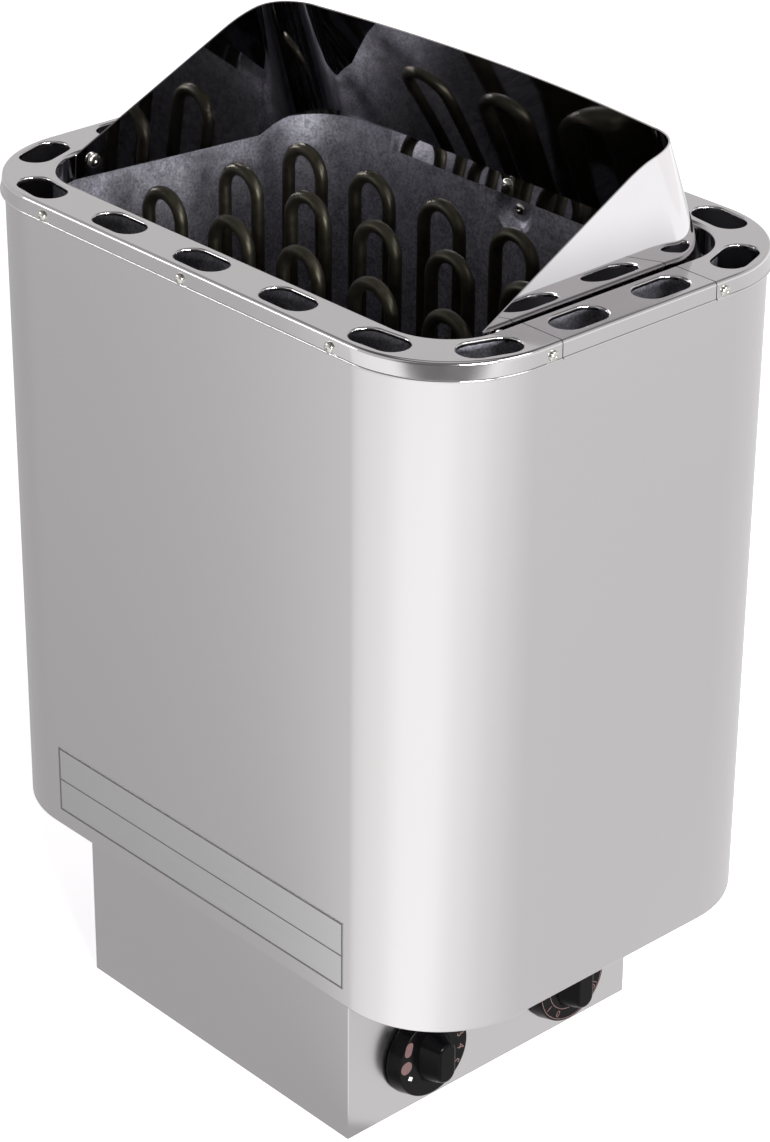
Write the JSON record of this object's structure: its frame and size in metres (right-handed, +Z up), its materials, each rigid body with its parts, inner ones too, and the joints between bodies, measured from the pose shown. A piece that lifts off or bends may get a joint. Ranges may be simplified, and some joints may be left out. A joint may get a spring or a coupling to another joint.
{
  "type": "sauna heater stove",
  "caption": "Wall-mounted electric sauna heater: round-cornered steel jacket, pierced rim, bent-tube elements in an open stone chamber, leaning steam deflector, control box with knobs.",
  "frame": {"origin": "bottom centre of the bounding box, on the underside of the control box", "axes": "+Z up, -Y the front of the heater, +Y towards the wall, +X the side with the knobs"},
  "size_m": [0.4126, 0.3076, 0.5861],
  "materials": {
    "satin_stainless": "satin",
    "polished_stainless": "polished",
    "mirror_stainless": "mirror polished",
    "galvanised_steel": "galvanised, spangled",
    "element_steel": "heat-darkened",
    "nickel_brass": "nickel plated",
    "black_plastic": "semi-gloss",
    "grey_plastic": "matte",
    "red_plastic": "matte",
    "ceramic": "fired",
    "copper": "drawn"
  },
  "bodies": {
    "heater": {"outer_jacket": "satin_stainless", "rim_frame": "polished_stainless", "rim_segment": "polished_stainless", "steam_deflector": "mirror_stainless", "deflector_screw_left": "nickel_brass", "deflector_screw_right": "nickel_brass", "stone_chamber": "galvanised_steel", "chamber_stay": "galvanised_steel", "stone_grate": "galvanised_steel", "base_plate": "galvanised_steel", "heating_element_front": "element_steel", "heating_element_middle": "element_steel", "heating_element_back": "element_steel", "element_bush_front_left": "nickel_brass", "element_nut_front_left": "nickel_brass", "element_bush_front_right": "nickel_brass", "element_nut_front_right": "nickel_brass", "element_bush_middle_left": "nickel_brass", "element_nut_middle_left": "nickel_brass", "element_bush_middle_right": "nickel_brass", "element_nut_middle_right": "nickel_brass", "element_bush_back_left": "nickel_brass", "element_nut_back_left": "nickel_brass", "element_bush_back_right": "nickel_brass", "element_nut_back_right": "nickel_brass", "box_shell": "satin_stainless", "bottom_cover": "satin_stainless", "timer_body": "grey_plastic", "thermostat_body": "grey_plastic", "limiter_body": "grey_plastic", "terminal_block": "ceramic", "thermostat_sensor": "copper", "limiter_sensor": "copper", "cable_gland": "black_plastic", "gland_locknut": "black_plastic", "wall_bracket": "galvanised_steel"},
    "timer_dial": {"timer_knob": "black_plastic", "timer_shaft": "nickel_brass"},
    "thermostat_dial": {"thermostat_knob": "black_plastic", "thermostat_shaft": "nickel_brass"},
    "reset_button": {"reset_button": "red_plastic"}
  },
  "joints": [
    {"name": "timer_turn", "type": "hinge", "parent": "heater", "child": "timer_dial", "pos_m": [0.1215, -0.0795, 0.039], "axis": [-1, 0, 0], "range_deg": [0, 300]},
    {"name": "thermostat_turn", "type": "hinge", "parent": "heater", "child": "thermostat_dial", "pos_m": [0.1215, 0.0365, 0.039], "axis": [-1, 0, 0], "range_deg": [0, 270]},
    {"name": "reset_press", "type": "slide", "parent": "heater", "child": "reset_button", "axis": [0, 0, 1], "range_m": [0, 0.003], "stiffness_N_per_m": 800, "springref_m": -0.0005}
  ]
}
